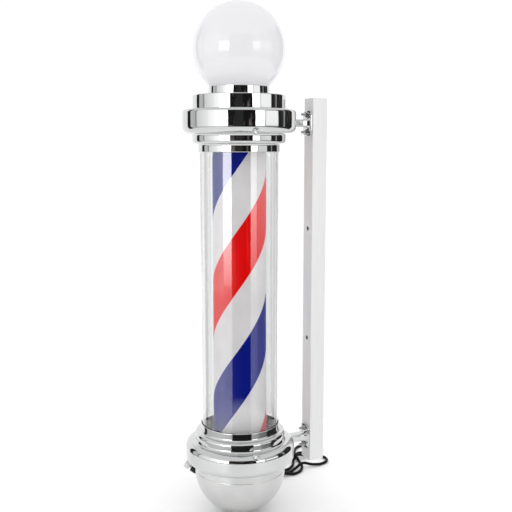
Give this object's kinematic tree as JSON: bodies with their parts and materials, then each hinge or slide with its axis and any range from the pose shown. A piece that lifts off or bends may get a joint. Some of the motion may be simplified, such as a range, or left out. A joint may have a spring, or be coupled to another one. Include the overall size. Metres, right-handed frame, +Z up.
{
  "type": "barber pole light",
  "caption": "Wall-mounted barber pole light: opal globe over a clear tube with a motor-turned striped drum, chrome end rings and dome, on a rectangular wall rail.",
  "frame": {"origin": "middle of the wall rail's back face, on the wall", "axes": "+Z up along the pole, +Y into the wall, +X to the right as seen from the room"},
  "size_m": [0.3225, 0.3678, 0.8694],
  "materials": {
    "chrome": "mirror polished",
    "opal_plastic": "gloss opal",
    "opal_glass": "frosted",
    "clear_plastic": "clear gloss",
    "stripe_film": "satin film",
    "steel": "zinc plated",
    "rail_aluminium": "satin",
    "black_rubber": "satin",
    "black_plastic": "satin",
    "ribbed_plastic": "milky gloss",
    "white_plastic": "satin",
    "brass": "machined",
    "copper": "enamelled winding",
    "magnet": "ferrite"
  },
  "bodies": {
    "frame": {"globe_collar": "chrome", "top_cap": "chrome", "top_ring": "chrome", "bottom_ring": "chrome", "dome_cover": "chrome", "ring_cap_nut_1": "chrome", "ring_cap_nut_2": "chrome", "ring_cap_nut_3": "chrome", "ring_cap_nut_4": "chrome", "upper_bracket": "chrome", "lower_bracket": "chrome", "globe": "opal_plastic", "globe_bulb": "opal_glass", "column_lamp": "opal_glass", "outer_tube": "clear_plastic", "top_plate": "steel", "top_arm_screw": "steel", "bottom_arm_screw": "steel", "layshaft_pin": "steel", "motor_can": "steel", "gearbox_cover": "steel", "motor_screw_1": "steel", "motor_screw_2": "steel", "motor_plate": "steel", "bracket_bolt_1": "steel", "bracket_bolt_2": "steel", "bracket_bolt_3": "steel", "bracket_bolt_4": "steel", "bracket_nut_1": "steel", "bracket_nut_2": "steel", "bracket_nut_3": "steel", "bracket_nut_4": "steel", "wall_rail": "rail_aluminium", "globe_gasket": "black_rubber", "top_tube_gasket": "black_rubber", "bottom_tube_gasket": "black_rubber", "mains_cord": "black_rubber", "cord_coil": "black_rubber", "cable_gland": "black_rubber", "plug": "black_rubber", "button_bezel": "black_plastic", "cord_tie": "black_plastic", "globe_lampholder": "white_plastic", "column_lampholder": "white_plastic", "drum_guide_bush": "white_plastic", "terminal_block": "white_plastic", "output_bush": "brass", "motor_coil": "copper"},
    "drum": {"drum_shell": "stripe_film", "drum_top_ring": "white_plastic", "drum_bottom_disc": "white_plastic", "drive_hub": "brass", "hub_grub_screw": "steel", "output_shaft": "steel", "output_gear": "brass"},
    "layshaft": {"layshaft_gear": "white_plastic"},
    "rotor": {"rotor_pinion": "brass", "rotor_magnet": "magnet"},
    "button": {"button_cap": "ribbed_plastic"}
  },
  "joints": [
    {"name": "drum_spin", "type": "hinge", "parent": "frame", "child": "drum", "pos_m": [0, -0.16, 0], "axis": [0, 0, 1], "continuous": true},
    {"name": "layshaft_spin", "type": "hinge", "parent": "frame", "child": "layshaft", "pos_m": [0.0075, -0.13932, -0.31], "axis": [0, 0, 1], "continuous": true},
    {"name": "rotor_spin", "type": "hinge", "parent": "frame", "child": "rotor", "pos_m": [0.015, -0.16, -0.32], "axis": [0, 0, 1], "continuous": true},
    {"name": "button_press", "type": "slide", "parent": "frame", "child": "button", "axis": [0.5212, 0.6916, -0.5], "range_m": [0, 0.003], "stiffness_N_per_m": 400, "springref_m": -0.001}
  ],
  "couplings": [
    {"joint": "layshaft_spin", "follows": "drum_spin", "ratio": -3},
    {"joint": "rotor_spin", "follows": "drum_spin", "ratio": 9}
  ]
}
